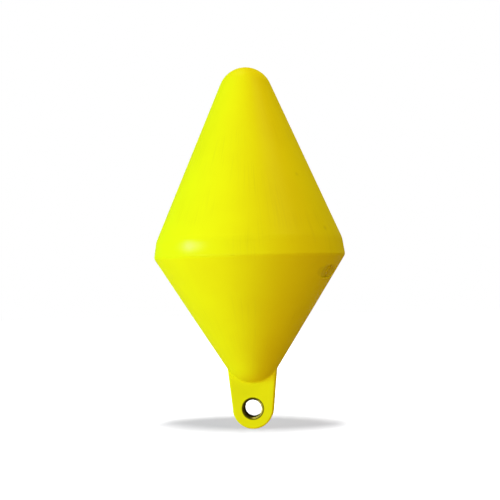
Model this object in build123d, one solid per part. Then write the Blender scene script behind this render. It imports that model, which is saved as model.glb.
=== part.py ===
from build123d import *
import math
import os

# A conical navigation buoy in millimetres, +Z up.
# The origin is the middle of the plane where the two moulded halves meet,
# at the foot of the belt, which is the nominal waterline.
# The mooring lug under the float is wide along X, and its eye runs along Y.

# Float: the belt, the two flanks and their round ends
BELT_RADIUS = 200.0
BELT_HEIGHT = 35.0
BELT_DRAFT = 8.8
SHOULDER_RADIUS = 45.0
FOOT_RADIUS = 12.0
NOSE_TOP = 398.0
NOSE_RADIUS = 57.0
DOME_DEPTH = 264.0
DOME_RADIUS = 61.0
PARTING_GROOVE = 0.5

# Mooring lug, moulded in one with the lower half
EYE_BELOW_DOME = 52.5
LUG_END_RADIUS = 42.5
LUG_THICKNESS = 32.0
LUG_TAPER = 6.0
LUG_ROOT_RISE = 110.0
LUG_EDGE_RADIUS = 4.0
LUG_BLEND_RADIUS = 5.0

# Eye bush, a length of steel tube moulded into the lug
BUSH_BORE = 36.0
BUSH_WALL = 3.2
BUSH_LIP = 1.2
BUSH_RECESS = 0.8
BUSH_GAP = 0.1
EYE_RIM = 1.5

# Filling plug in the floor of a shallow pocket of the lower flank, turned from the front towards +X
PLUG_AZIMUTH = 72.0
PLUG_DROP = 35.0
POCKET_LENGTH = 78.0
POCKET_HEIGHT = 31.0
POCKET_DEPTH = 4.0
PLUG_HEAD_RADIUS = 12.0
PLUG_HEAD_THICKNESS = 3.5
PLUG_RISE = 1.2
PLUG_STEM_RADIUS = 9.0
PLUG_STEM_LENGTH = 12.0
PLUG_GAP = 0.3
PLUG_TIP_GAP = 2.0


def flank_angle(edge_radius, rise, round_radius):
    """Half-angle of a flank from an edge to the ball it touches, whose centre is `rise` further on."""
    to_centre = math.atan2(edge_radius, rise)
    off_centre_line = math.asin(round_radius / math.hypot(edge_radius, rise))
    return to_centre - off_centre_line


# The flanks touch the round ends, so their angles follow from the sizes above.
BELT_TOP_RADIUS = BELT_RADIUS - BELT_HEIGHT * math.tan(math.radians(BELT_DRAFT))
NOSE_CENTRE = NOSE_TOP - NOSE_RADIUS
DOME_CENTRE = DOME_RADIUS - DOME_DEPTH
UPPER_ANGLE = flank_angle(BELT_TOP_RADIUS, NOSE_CENTRE - BELT_HEIGHT, NOSE_RADIUS)
LOWER_ANGLE = flank_angle(BELT_RADIUS, -DOME_CENTRE, DOME_RADIUS)

EYE_Z = -DOME_DEPTH - EYE_BELOW_DOME
EYE_PLANE = Plane(origin=(0, 0, EYE_Z), x_dir=(1, 0, 0), z_dir=(0, -1, 0))
BUSH_RADIUS = BUSH_BORE / 2 + BUSH_WALL
EYE_RADIUS = BUSH_RADIUS + BUSH_GAP

# Depths under the pocket's floor, along the plug's own axis
SEAT_FLOOR = PLUG_HEAD_THICKNESS - PLUG_RISE
STEM_TIP = SEAT_FLOOR + PLUG_STEM_LENGTH


def pocket_floor():
    """Plane of the plug's pocket, under the lower flank: X along the pocket, Z out of the float."""
    azimuth = math.radians(PLUG_AZIMUTH)
    reach = BELT_RADIUS - PLUG_DROP * math.tan(LOWER_ANGLE)
    level = math.cos(LOWER_ANGLE)
    place = (reach * math.sin(azimuth), -reach * math.cos(azimuth), -PLUG_DROP)
    along = (math.cos(azimuth), math.sin(azimuth), 0)
    outward = (level * math.sin(azimuth), -level * math.cos(azimuth), -math.sin(LOWER_ANGLE))
    return Plane(origin=place, x_dir=along, z_dir=outward).offset(-POCKET_DEPTH)


def round_end(centre, radius, angle, side):
    """Points of a round end in the XZ plane: where the flank touches it, midway, and on the axis."""
    turns = [angle, (angle + math.pi / 2) / 2, math.pi / 2]
    return [(radius * math.cos(turn), centre + side * radius * math.sin(turn)) for turn in turns]


def half_section(side):
    """Section of one half, cut at the parting plane: side 1 is the half above it, -1 the one below."""
    nose = round_end(NOSE_CENTRE, NOSE_RADIUS, UPPER_ANGLE, 1)
    dome = round_end(DOME_CENTRE, DOME_RADIUS, LOWER_ANGLE, -1)
    height = NOSE_TOP + DOME_DEPTH
    with BuildSketch() as section:
        with BuildLine():
            ThreePointArc(*nose)
            Polyline(nose[0], (BELT_TOP_RADIUS, BELT_HEIGHT), (BELT_RADIUS, 0), dome[0])
            ThreePointArc(*dome)
            Line(dome[-1], nose[-1])
        make_face()
        fillet(vertices().sort_by(Axis.X)[-2], SHOULDER_RADIUS)
        fillet(vertices().sort_by(Axis.X)[-1], FOOT_RADIUS)
        with Locations((0, side * height / 2)):
            Rectangle(2 * BELT_RADIUS, height, mode=Mode.INTERSECT)
    return section.sketch


def upper_half():
    """Upper half of the float: the belt with its rounded edges, the flank and the nose.

    Its bevelled rim leaves a fine groove round the parting plane.
    """
    with BuildPart() as half:
        with BuildSketch(Plane.XZ):
            add(half_section(1))
            chamfer(vertices().sort_by_distance((BELT_RADIUS, 0))[0], PARTING_GROOVE)
        revolve(axis=Axis.Z)
    return half.part


def lug():
    """The lug: sides that taper into a round about the eye, and a rounded rim."""
    taper = math.radians(LUG_TAPER)
    foot_x = LUG_END_RADIUS * math.cos(taper)
    foot_z = EYE_Z - LUG_END_RADIUS * math.sin(taper)
    root_z = LUG_ROOT_RISE - DOME_DEPTH
    root_x = foot_x + (root_z - foot_z) * math.tan(taper)
    with BuildPart() as plate:
        with BuildSketch(Plane.XZ):
            with BuildLine():
                ThreePointArc((-foot_x, foot_z), (0, EYE_Z - LUG_END_RADIUS), (foot_x, foot_z))
                Polyline((foot_x, foot_z), (root_x, root_z), (-root_x, root_z), (-foot_x, foot_z))
            make_face()
        extrude(amount=LUG_THICKNESS / 2, both=True)
        root = faces().sort_by(Axis.Z)[-1]
        rim = faces().filter_by(Axis.Y).edges() - root.edges()
        fillet(rim, LUG_EDGE_RADIUS)
    return plate.part


def lower_half():
    """Lower half of the float: the flank, the dome, the lug blended into it, the eye and the pocket."""
    with BuildPart() as half:
        with BuildSketch(Plane.XZ):
            add(half_section(-1))
        revolve(axis=Axis.Z)
        add(lug())
        fillet(edges(Select.NEW), LUG_BLEND_RADIUS)
        with BuildSketch(EYE_PLANE):
            Circle(EYE_RADIUS)
        extrude(amount=LUG_THICKNESS, both=True, mode=Mode.SUBTRACT)
        chamfer(edges(Select.NEW), EYE_RIM)
        with BuildSketch(pocket_floor()):
            SlotOverall(POCKET_LENGTH, POCKET_HEIGHT)
        extrude(amount=2 * POCKET_DEPTH, mode=Mode.SUBTRACT)
        with Locations(pocket_floor()):
            CounterBoreHole(
                radius=PLUG_STEM_RADIUS + PLUG_GAP,
                counter_bore_radius=PLUG_HEAD_RADIUS + PLUG_GAP,
                counter_bore_depth=SEAT_FLOOR,
                depth=STEM_TIP + PLUG_TIP_GAP,
            )
    return half.part


def eye_bush():
    """Steel tube through the eye, its ends just below the faces of the lug, its bore's lips bevelled."""
    with BuildPart() as tube:
        with BuildSketch(EYE_PLANE):
            Circle(BUSH_RADIUS)
            Circle(BUSH_BORE / 2, mode=Mode.SUBTRACT)
        extrude(amount=LUG_THICKNESS / 2 - BUSH_RECESS, both=True)
        bore_wall = faces().filter_by(GeomType.CYLINDER).sort_by(SortBy.AREA)[0]
        chamfer(bore_wall.edges().filter_by(GeomType.CIRCLE), BUSH_LIP)
    return tube.part


def filling_plug():
    """Push-in plug: a flat head that stands a little above the pocket's floor, and a round stem."""
    outline = [
        (0, PLUG_RISE),
        (PLUG_HEAD_RADIUS, PLUG_RISE),
        (PLUG_HEAD_RADIUS, -SEAT_FLOOR),
        (PLUG_STEM_RADIUS, -SEAT_FLOOR),
        (PLUG_STEM_RADIUS, -STEM_TIP),
        (0, -STEM_TIP),
    ]
    with BuildPart() as plug:
        with BuildSketch(Plane.XZ):
            with BuildLine():
                Polyline(*outline, close=True)
            make_face()
        revolve(axis=Axis.Z)
    return pocket_floor() * plug.part


PIECES = {
    "upper_shell": upper_half,
    "lower_shell": lower_half,
    "eye_bush": eye_bush,
    "filling_plug": filling_plug,
}

os.makedirs("parts", exist_ok=True)
for name, make in PIECES.items():
    export_step(make(), f"parts/{name}.step")
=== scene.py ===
import math

import bpy
from mathutils import Matrix, Vector


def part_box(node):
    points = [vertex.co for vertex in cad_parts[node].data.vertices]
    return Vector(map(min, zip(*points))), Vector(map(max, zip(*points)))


# The looks of a conical navigation buoy, in metres, in the frame of its solids.
# The front of the scene is -Y, and an azimuth turns from there towards +X.

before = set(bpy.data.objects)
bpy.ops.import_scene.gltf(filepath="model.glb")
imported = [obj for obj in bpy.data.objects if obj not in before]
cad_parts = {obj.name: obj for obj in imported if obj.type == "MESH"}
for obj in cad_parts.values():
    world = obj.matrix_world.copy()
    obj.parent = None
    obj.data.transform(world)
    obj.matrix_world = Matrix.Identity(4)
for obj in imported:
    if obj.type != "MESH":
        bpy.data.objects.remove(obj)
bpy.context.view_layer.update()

# The photograph: a square of 500 pixels, its camera a little below the foot of the belt
PHOTO_SIDE = 500.0
FOCAL_LENGTH_PIXELS = 1075.0
METRES_PER_PIXEL = 0.200 / 95.26
BELT_FOOT_PIXEL = (249.65, 256.68)
CAMERA_AZIMUTH = 5.6
CAMERA_ELEVATION = -0.9
CAMERA_DISTANCE = FOCAL_LENGTH_PIXELS * METRES_PER_PIXEL
CAMERA_ROLL = -1.5
SENSOR_MM = 36.0

# Places on the buoy that the finish follows
FLOOR_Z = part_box("lower_shell")[0].z
EYE_Z = sum(corner.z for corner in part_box("eye_bush")) / 2
BUSH_RADIUS = (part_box("eye_bush")[1].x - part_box("eye_bush")[0].x) / 2
BUSH_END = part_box("eye_bush")[1].y
EYE_RIM = 0.0015
BUSH_LIP = 0.0012

# Soft lamps round the buoy: azimuth, elevation, distance, width, height, watts, colour
LAMPS = {
    "left": (-60, 6, 2.5, 1.0, 0.5, 31.0, (0.44, 1.0, 0.9)),
    "key": (-45, -3, 2.5, 1.0, 0.25, 14.5, (0.58, 1.0, 0.9)),
    "front": (-15, -3, 2.5, 1.0, 0.25, 19.5, (1.0, 0.77, 0.4)),
    "right": (60, 50, 2.5, 1.0, 1.0, 26.0, (1.0, 0.85, 0.4)),
    "top_left": (-120, 75, 2.5, 1.0, 1.0, 25.0, (1.0, 0.89, 0.6)),
    "back": (185.6, 3, 2.5, 1.2, 0.6, 25.0, (1.0, 0.97, 0.92)),
}

# The lamp that the rubbed spot mirrors, which adds gloss and no other light
GLINT_LAMP = (-72, 18, 2.5, 0.33, 0.33, 8.0, (0.12, 0.4, 1.0))

# The lamp overhead that draws the shadow on the floor, long from front to back
SHADOW_LAMP = (8.5, 79.4, 1.44, 0.2, 1.4, 750.0, (1.0, 1.0, 1.0))
SHADOW_LAMP_SPIN = -18.0

# Light levels: the surroundings as light and as they show, and the floor's share of light from below
WORLD_LIGHT = (0.02, 0.02, 0.02, 1)
WORLD_SHOWN = (1, 1, 1, 1)
FLOOR_LIGHT = (0.51, 0.32, 0.12, 1)

# The floor as it shows: half its side, how much it returns of the overhead lamp, its own glow
# under the buoy and far from it, the distances from the axis between which the glow rises, its tint
FLOOR_HALF = 6.0
FLOOR_SHADE = (0.097, 0.103)
FLOOR_GLOW = 0.56
FLOOR_GLOW_FAR = 1.05
FLOOR_GLOW_RISES = (0.5, 1.6)
FLOOR_TINT = (1.0, 1.0, 1.045, 1)

# Colours of the float, and what wear, smudges, the stain with painted shade and the grime with painted
# shade turn them to
YELLOW = (0.90, 0.85, 0.008, 1)
CLOUDED_YELLOW = (0.875, 0.805, 0.008, 1)
WORN_YELLOW = (0.66, 0.60, 0.01, 1)
SMUDGED_YELLOW = (0.40, 0.36, 0.01, 1)
# Stain with painted shade: darkens the float round the plug's pocket, where the recess is in shade
STAIN_SHADE_YELLOW = (0.20, 0.22, 0.01, 1)
# Grime with painted shade: near black in the eye's bevel, where the crevice between bush and lug is in
# shade
GRIME_SHADE_YELLOW = (0.035, 0.028, 0.006, 1)

# The most that wear, the stain with painted shade and the grime with painted shade show, while each smudge
# has its own depth below
WEAR_DEPTH = 0.22
STAIN_SHADE_DEPTH = 0.13
GRIME_SHADE_DEPTH = 0.85

# Colours of the plug, and of the steel: inside the bush as painted shade with grime, at its ends, and the
# painted highlight on the lower right of the ends
PLUG_YELLOW = (0.80, 0.72, 0.004, 1)
PLUG_CLOUDED = (0.74, 0.66, 0.004, 1)
# Painted shade with grime: the near black inside the bore stands for the shade in the tube
BORE_SHADE_DARK = (0.012, 0.010, 0.004, 1)
BORE_SHADE_PALE = (0.035, 0.030, 0.012, 1)
OLIVE_DARK = (0.030, 0.025, 0.004, 1)
OLIVE_PALE = (0.065, 0.053, 0.007, 1)
# Painted highlight: the bright steel on the lower right of the bush's ends
HIGHLIGHT_STEEL = (0.72, 0.58, 0.16, 1)

# Gloss: the two levels between which noise moves each finish's roughness, what a scuff adds to it,
# and the coat, which is thin all over and strong on the rubbed spot
FLOAT_ROUGHNESS = (0.32, 0.42)
PLUG_ROUGHNESS = (0.35, 0.5)
STEEL_ROUGHNESS = (0.45, 0.65)
SCUFF_ROUGHNESS = 0.2
COAT_WEIGHT = 0.03
POLISHED_COAT_WEIGHT = 0.49
FLOAT_COAT_ROUGHNESS = 0.28
PLUG_COAT_ROUGHNESS = 0.3

# Noises: features per metre, or for the streaks per radian round the float, and octaves of detail
FLOAT_CLOUDS = (8.0, 4.0)
STREAKS = (42.0, 3.0)
WORN_PATCHES = (9.0, 2.0)
STAIN_SHADE_EDGE = (70.0, 2.0)
SMUDGE_EDGE = (160.0, 2.0)
FLOAT_DULLNESS = (60.0, 3.0)
WALL_WAVES = (26.0, 1.0)
ORANGE_PEEL = (380.0, 2.0)
PLUG_CLOUDS = (90.0, 3.0)
PLUG_DULLNESS = (300.0, 2.0)
PLUG_GRAIN = (1100.0, 2.0)
SPANGLE = (240.0, 4.0)
STEEL_PITS = (700.0, 2.0)
FLOOR_GRAIN = (60.0, 3.0)

# Levels of a noise between which a finish goes from one look to the other
MIDDLE = (0.3, 0.7)
STREAK_LEVELS = (0.45, 0.75)
PATCH_LEVELS = (0.4, 0.66)
SPANGLE_LEVELS = (0.35, 0.65)

# Bumps: depth in metres, and strength
WALL_BUMP = (0.0012, 0.2)
PEEL_BUMP = (0.0003, 0.35)
GRAIN_BUMP = (0.0001, 0.3)
PIT_BUMP = (0.0001, 0.4)

# How far the streaks' noise moves on with each metre of height, so that each of them ends somewhere
STREAK_DRIFT = 0.25

# Spot of the belt that is rubbed smooth: azimuth, distance from the axis, height and reach,
# and how much faster it fades upwards than sideways
POLISH_AZIMUTH = -30.5
POLISH_OUT = 0.1975
POLISH_HEIGHT = 0.0215
POLISH_REACH = 0.056
POLISH_SQUEEZE = 3.3

# Stain and painted shade round the filling plug's pocket: azimuth, distance from the axis, height, reach
# along it, how much faster it fades along each axis, how ragged it is, and the shares of its reach where
# it fades
STAIN_SHADE_AZIMUTH = 69.0
STAIN_SHADE_OUT = 0.176
STAIN_SHADE_HEIGHT = -0.034
STAIN_SHADE_REACH = 0.050
STAIN_SHADE_SQUEEZE = (1.4, 0.92, 3.2)
STAIN_SHADE_RAGGED = 0.012
STAIN_SHADE_FADE = (0.9, 1.12)

# Smudges on the upper flank: azimuth, height, distance from the axis, reach and depth,
# and for all of them the shares of the reach by which they are ragged and where they fade
SMUDGES = ((60.0, 0.052, 0.186, 0.0075, 0.20), (51.0, 0.163, 0.141, 0.0065, 0.15))
SMUDGE_RAGGED = 0.4
SMUDGE_FADE = (0.4, 1.3)

# The bush: where the look of its ends starts and is full, in lips' widths before the end,
# the side where the ends carry a painted highlight, where it starts and is full, in bush radii towards
# that side, and how much the spangle breaks it up
END_FADE = (1.3, 0.7)
HIGHLIGHT_SIDE = (0.95, 0, -0.31)
HIGHLIGHT_LEVELS = (-0.1, 0.45)
SPANGLE_SHARE = 0.5

# Drawn lines of the steel: features per metre across, along and upwards, and the noise laid in them
DRAWN_LINES = (500, 60, 500)
DRAWN_NOISE = (1.0, 2.0)


def direction(azimuth, elevation):
    """Unit vector from the buoy towards an azimuth and an elevation, in degrees."""
    turn = math.radians(azimuth)
    rise = math.radians(elevation)
    level = math.cos(rise)
    return Vector((level * math.sin(turn), -level * math.cos(turn), math.sin(rise)))


def on_the_buoy(azimuth, out, height):
    """Place at an azimuth, a distance from the axis and a height."""
    return direction(azimuth, 0) * out + Vector((0, 0, height))


def facing_the_buoy(azimuth, elevation, distance):
    """Matrix of a camera or a lamp at a distance from the frame's origin, which it looks at."""
    back = direction(azimuth, elevation)
    turn = back.to_track_quat("Z", "Y").to_matrix().to_4x4()
    return Matrix.Translation(back * distance) @ turn


def make_camera():
    """Camera at the photograph's place, rolled because the buoy leans a little in the picture."""
    lens = bpy.data.cameras.new("camera")
    lens.sensor_width = SENSOR_MM
    lens.lens = SENSOR_MM * FOCAL_LENGTH_PIXELS / PHOTO_SIDE
    lens.shift_x = (PHOTO_SIDE / 2 - BELT_FOOT_PIXEL[0]) / PHOTO_SIDE
    lens.shift_y = (BELT_FOOT_PIXEL[1] - PHOTO_SIDE / 2) / PHOTO_SIDE
    camera = bpy.data.objects.new("camera", lens)
    roll = Matrix.Rotation(math.radians(CAMERA_ROLL), 4, "Z")
    camera.matrix_world = facing_the_buoy(CAMERA_AZIMUTH, CAMERA_ELEVATION, CAMERA_DISTANCE) @ roll
    bpy.context.scene.collection.objects.link(camera)
    bpy.context.scene.camera = camera


def add_softbox(name, azimuth, elevation, distance, width, height, watts, colour):
    """A soft area light that faces the frame's origin, the middle of the belt's foot."""
    lamp = bpy.data.lights.new(name, "AREA")
    lamp.shape = "RECTANGLE"
    lamp.size = width
    lamp.size_y = height
    lamp.energy = watts
    lamp.color = colour
    light = bpy.data.objects.new(name, lamp)
    light.matrix_world = facing_the_buoy(azimuth, elevation, distance)
    light.visible_camera = False
    bpy.context.scene.collection.objects.link(light)
    return light


def add_shadow_lamp(floor):
    """The overhead lamp, which lights nothing but the floor."""
    light = add_softbox("overhead", *SHADOW_LAMP)
    light.matrix_world = light.matrix_world @ Matrix.Rotation(math.radians(SHADOW_LAMP_SPIN), 4, "Z")
    lit = bpy.data.collections.new("lit_by_overhead")
    lit.objects.link(floor)
    light.light_linking.receiver_collection = lit


def add_node(tree, kind, settings=(), inputs=()):
    """A new node with its settings, and its inputs as values or as other nodes' outputs."""
    made = tree.nodes.new(kind)
    for key, value in dict(settings).items():
        setattr(made, key, value)
    for key, value in dict(inputs).items():
        if isinstance(value, bpy.types.NodeSocket):
            tree.links.new(value, made.inputs[key])
        else:
            made.inputs[key].default_value = value
    return made


def reckon(tree, operation, first, second=0.0, third=0.0):
    """Output of a Math node."""
    made = add_node(tree, "ShaderNodeMath", {"operation": operation}, {0: first, 1: second, 2: third})
    return made.outputs[0]


def reckon_vector(tree, operation, first, second=(0, 0, 0)):
    """Output of a Vector Math node: a number for a length or a dot product, otherwise a vector."""
    made = add_node(tree, "ShaderNodeVectorMath", {"operation": operation}, {0: first, 1: second})
    return made.outputs["Value" if operation in ("LENGTH", "DOT_PRODUCT") else "Vector"]


def step_up(tree, value, low, high, out_low=0.0, out_high=1.0):
    """A smooth rise from one level to another as the value goes from low to high."""
    made = add_node(
        tree,
        "ShaderNodeMapRange",
        {"interpolation_type": "SMOOTHSTEP"},
        {"Value": value, "From Min": low, "From Max": high, "To Min": out_low, "To Max": out_high},
    )
    return made.outputs["Result"]


def noise(tree, where, pattern):
    """Output of a noise texture, its pattern the scale and the octaves of detail."""
    scale, detail = pattern
    made = add_node(tree, "ShaderNodeTexNoise", (), {"Vector": where, "Scale": scale, "Detail": detail})
    return made.outputs["Fac"]


def mix_colours(tree, share, first, second):
    """Output of a colour mix, the second colour's share given.

    The node's colours are its inputs 6 and 7 and its output 2, after those for other kinds of data.
    """
    made = add_node(tree, "ShaderNodeMix", {"data_type": "RGBA"}, {0: share, 6: first, 7: second})
    return made.outputs[2]


def mix_shaders(tree, share, first, second):
    """Output of a shader mix, the second shader's share given."""
    return add_node(tree, "ShaderNodeMixShader", (), {0: share, 1: first, 2: second}).outputs[0]


def bump(tree, height, depth, strength, under=None):
    """Output of a bump node, laid over another one if given."""
    inputs = {"Height": height, "Distance": depth, "Strength": strength}
    if under:
        inputs["Normal"] = under
    return add_node(tree, "ShaderNodeBump", (), inputs).outputs["Normal"]


def distance_from(tree, where, place, squeeze=(1, 1, 1)):
    """Distance from a place, each axis multiplied by its own factor."""
    offset = reckon_vector(tree, "SUBTRACT", where, place)
    return reckon_vector(tree, "LENGTH", reckon_vector(tree, "MULTIPLY", offset, squeeze))


def seen_directly(tree):
    """1 for what the camera sees, also in reflections and through glass, and 0 for light."""
    path = tree.nodes.new("ShaderNodeLightPath").outputs
    camera_or_glossy = reckon(tree, "MAXIMUM", path["Is Camera Ray"], path["Is Glossy Ray"])
    return reckon(tree, "MAXIMUM", camera_or_glossy, path["Is Transmission Ray"])


def matt_shader(name):
    """A new material, its node tree, its shader with no gloss but a coat's, and the buoy's coordinates."""
    material = bpy.data.materials.new(name)
    material.use_nodes = True
    tree = material.node_tree
    skin = tree.nodes["Principled BSDF"]
    skin.inputs["Specular IOR Level"].default_value = 0.0
    where = tree.nodes.new("ShaderNodeTexCoord").outputs["Object"]
    return material, tree, skin, where


def down_the_flank(tree, where):
    """Coordinates that hardly change down a flank, so that a noise in them draws upright streaks."""
    level = reckon_vector(tree, "MULTIPLY", where, (1, 1, 0))
    around = reckon_vector(tree, "NORMALIZE", level)
    upright = reckon_vector(tree, "MULTIPLY", where, (0, 0, STREAK_DRIFT))
    return reckon_vector(tree, "ADD", around, upright)


def scuffed(tree, where):
    """How scuffed the float is at a place, from 0 to 1: upright streaks, in patches."""
    streaks = step_up(tree, noise(tree, down_the_flank(tree, where), STREAKS), *STREAK_LEVELS)
    patches = step_up(tree, noise(tree, where, WORN_PATCHES), *PATCH_LEVELS)
    return reckon(tree, "MULTIPLY", streaks, patches)


def smudged(tree, where, azimuth, height, out, reach, depth):
    """How deep a smudge is at a place."""
    away = distance_from(tree, where, on_the_buoy(azimuth, out, height))
    edge = noise(tree, where, SMUDGE_EDGE)
    ragged = reckon(tree, "MULTIPLY_ADD", edge, SMUDGE_RAGGED * reach, away)
    return step_up(tree, ragged, SMUDGE_FADE[0] * reach, SMUDGE_FADE[1] * reach, depth, 0.0)


def stain_and_shade(tree, where):
    """How deep the stain and painted shade round the pocket are at a place."""
    middle = on_the_buoy(STAIN_SHADE_AZIMUTH, STAIN_SHADE_OUT, STAIN_SHADE_HEIGHT)
    away = distance_from(tree, where, middle, STAIN_SHADE_SQUEEZE)
    ragged = reckon(tree, "MULTIPLY_ADD", noise(tree, where, STAIN_SHADE_EDGE), STAIN_SHADE_RAGGED, away)
    fade = (STAIN_SHADE_FADE[0] * STAIN_SHADE_REACH, STAIN_SHADE_FADE[1] * STAIN_SHADE_REACH)
    return step_up(tree, ragged, *fade, STAIN_SHADE_DEPTH, 0.0)


def grime_and_shade(tree, where):
    """How deep the grime and painted shade are at a place: they fill the bevel between the bush and the
    lug, where the crevice is in shade.
    """
    from_eye = distance_from(tree, where, (0, 0, EYE_Z), (1, 0, 1))
    return step_up(tree, from_eye, BUSH_RADIUS + EYE_RIM, BUSH_RADIUS + 2 * EYE_RIM, GRIME_SHADE_DEPTH, 0.0)


def paint_float():
    """Satin moulded polyethylene: a clouded yellow, a fine orange peel, and what use has left on it, with
    painted shade in the eye's bevel and round the plug's pocket.
    """
    material, tree, skin, where = matt_shader("float_skin")
    skin.inputs["Coat Roughness"].default_value = FLOAT_COAT_ROUGHNESS
    spot = on_the_buoy(POLISH_AZIMUTH, POLISH_OUT, POLISH_HEIGHT)
    away = distance_from(tree, where, spot, (1, 1, POLISH_SQUEEZE))
    coat = step_up(tree, away, 0.0, POLISH_REACH, POLISHED_COAT_WEIGHT, COAT_WEIGHT)
    tree.links.new(coat, skin.inputs["Coat Weight"])

    clouds = step_up(tree, noise(tree, where, FLOAT_CLOUDS), *MIDDLE)
    yellow = mix_colours(tree, clouds, YELLOW, CLOUDED_YELLOW)
    scuffs = scuffed(tree, where)
    yellow = mix_colours(tree, reckon(tree, "MULTIPLY", scuffs, WEAR_DEPTH), yellow, WORN_YELLOW)
    for smudge in SMUDGES:
        yellow = mix_colours(tree, smudged(tree, where, *smudge), yellow, SMUDGED_YELLOW)
    # Stain with painted shade round the plug's pocket
    yellow = mix_colours(tree, stain_and_shade(tree, where), yellow, STAIN_SHADE_YELLOW)
    # Grime with painted shade in the eye's bevel
    yellow = mix_colours(tree, grime_and_shade(tree, where), yellow, GRIME_SHADE_YELLOW)
    tree.links.new(yellow, skin.inputs["Base Color"])

    dull = step_up(tree, noise(tree, where, FLOAT_DULLNESS), *MIDDLE, *FLOAT_ROUGHNESS)
    dull = reckon(tree, "MULTIPLY_ADD", scuffs, SCUFF_ROUGHNESS, dull)
    tree.links.new(dull, skin.inputs["Roughness"])

    wall = bump(tree, noise(tree, where, WALL_WAVES), *WALL_BUMP)
    peel = bump(tree, noise(tree, where, ORANGE_PEEL), *PEEL_BUMP, wall)
    tree.links.new(peel, skin.inputs["Normal"])
    return material


def paint_plug():
    """Moulded polyethylene a shade deeper than the float, with a finer grain."""
    material, tree, skin, where = matt_shader("plug_plastic")
    skin.inputs["Coat Weight"].default_value = COAT_WEIGHT
    skin.inputs["Coat Roughness"].default_value = PLUG_COAT_ROUGHNESS
    clouds = step_up(tree, noise(tree, where, PLUG_CLOUDS), *MIDDLE)
    tree.links.new(mix_colours(tree, clouds, PLUG_YELLOW, PLUG_CLOUDED), skin.inputs["Base Color"])
    dull = step_up(tree, noise(tree, where, PLUG_DULLNESS), *MIDDLE, *PLUG_ROUGHNESS)
    tree.links.new(dull, skin.inputs["Roughness"])
    grain = bump(tree, noise(tree, where, PLUG_GRAIN), *GRAIN_BUMP)
    tree.links.new(grain, skin.inputs["Normal"])
    return material


def paint_steel():
    """Galvanised tube under grime: nearly black inside as painted shade with grime, its ends olive, with a
    painted highlight on their lower right.
    """
    material, tree, steel, where = matt_shader("bush_steel")
    along = add_node(tree, "ShaderNodeSeparateXYZ", (), {0: where}).outputs["Y"]
    from_middle = reckon(tree, "ABSOLUTE", along)
    fade = (BUSH_END - END_FADE[0] * BUSH_LIP, BUSH_END - END_FADE[1] * BUSH_LIP)
    at_end = step_up(tree, from_middle, *fade)

    # Painted highlight: brighter ends towards the lower right, where the lamps catch the lips
    from_eye = reckon_vector(tree, "SUBTRACT", where, (0, 0, EYE_Z))
    towards_highlight = reckon_vector(tree, "DOT_PRODUCT", from_eye, HIGHLIGHT_SIDE)
    highlit = step_up(tree, towards_highlight, HIGHLIGHT_LEVELS[0] * BUSH_RADIUS, HIGHLIGHT_LEVELS[1] * BUSH_RADIUS)
    spangle = step_up(tree, noise(tree, where, SPANGLE), *SPANGLE_LEVELS)
    broken = reckon(tree, "MULTIPLY_ADD", spangle, SPANGLE_SHARE, 1 - SPANGLE_SHARE)
    olive = mix_colours(tree, spangle, OLIVE_DARK, OLIVE_PALE)
    face = mix_colours(tree, reckon(tree, "MULTIPLY", highlit, broken), olive, HIGHLIGHT_STEEL)
    # Painted shade with grime: the bore is near black where the tube's inside is in shade
    inside = mix_colours(tree, spangle, BORE_SHADE_DARK, BORE_SHADE_PALE)
    tree.links.new(mix_colours(tree, at_end, inside, face), steel.inputs["Base Color"])

    drawn = noise(tree, reckon_vector(tree, "MULTIPLY", where, DRAWN_LINES), DRAWN_NOISE)
    tree.links.new(step_up(tree, drawn, *MIDDLE, *STEEL_ROUGHNESS), steel.inputs["Roughness"])
    pits = bump(tree, noise(tree, where, STEEL_PITS), *PIT_BUMP)
    tree.links.new(pits, steel.inputs["Normal"])
    return material


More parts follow.
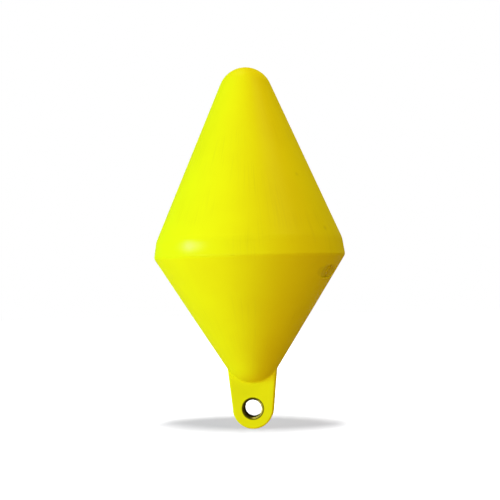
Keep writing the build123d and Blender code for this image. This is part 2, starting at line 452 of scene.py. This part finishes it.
def paint_floor():
    """Pale floor: white where nothing shades it from the overhead lamp, and see-through from below."""
    material = bpy.data.materials.new("floor")
    material.use_nodes = True
    tree = material.node_tree
    tree.nodes.clear()
    place = tree.nodes.new("ShaderNodeNewGeometry").outputs
    grain = noise(tree, place["Position"], FLOOR_GRAIN)
    shade = step_up(tree, grain, *MIDDLE, *FLOOR_SHADE)
    diffuse = add_node(tree, "ShaderNodeBsdfDiffuse", (), {"Color": shade})
    away = distance_from(tree, place["Position"], (0, 0, 0), (1, 1, 0))
    glow = step_up(tree, away, *FLOOR_GLOW_RISES, FLOOR_GLOW, FLOOR_GLOW_FAR)
    emission = add_node(tree, "ShaderNodeEmission", (), {"Color": FLOOR_TINT, "Strength": glow})
    shown = add_node(tree, "ShaderNodeAddShader", (), {0: diffuse.outputs[0], 1: emission.outputs[0]})
    lit = add_node(tree, "ShaderNodeEmission", (), {"Color": FLOOR_LIGHT})
    top = mix_shaders(tree, seen_directly(tree), lit.outputs[0], shown.outputs[0])
    under = tree.nodes.new("ShaderNodeBsdfTransparent")
    whole = mix_shaders(tree, place["Backfacing"], top, under.outputs[0])
    add_node(tree, "ShaderNodeOutputMaterial", (), {"Surface": whole})
    return material


def make_floor():
    """The floor under the lug, as part of the stage."""
    mesh = bpy.data.meshes.new("floor")
    sides = ((-1, -1), (1, -1), (1, 1), (-1, 1))
    corners = [(x * FLOOR_HALF, y * FLOOR_HALF, FLOOR_Z) for x, y in sides]
    mesh.from_pydata(corners, [], [(0, 1, 2, 3)])
    mesh.materials.append(paint_floor())
    floor = bpy.data.objects.new("floor", mesh)
    bpy.context.scene.collection.objects.link(floor)
    return floor


def make_world():
    """White to the eye and in reflections, and a low plain light."""
    world = bpy.data.worlds.new("world")
    bpy.context.scene.world = world
    world.use_nodes = True
    tree = world.node_tree
    tree.nodes.clear()
    lit = add_node(tree, "ShaderNodeBackground", (), {"Color": WORLD_LIGHT})
    shown = add_node(tree, "ShaderNodeBackground", (), {"Color": WORLD_SHOWN})
    whole = mix_shaders(tree, seen_directly(tree), lit.outputs[0], shown.outputs[0])
    add_node(tree, "ShaderNodeOutputWorld", (), {"Surface": whole})


def dress(node, material):
    """Gives a CAD node its finish."""
    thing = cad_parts[node]
    thing.data.materials.clear()
    thing.data.materials.append(material)


make_camera()
add_shadow_lamp(make_floor())
make_world()
for name, lamp in LAMPS.items():
    add_softbox(name, *lamp)
add_softbox("glint", *GLINT_LAMP).visible_diffuse = False

float_skin = paint_float()
dress("upper_shell", float_skin)
dress("lower_shell", float_skin)
dress("filling_plug", paint_plug())
dress("eye_bush", paint_steel())

bpy.context.scene.view_settings.view_transform = "Standard"
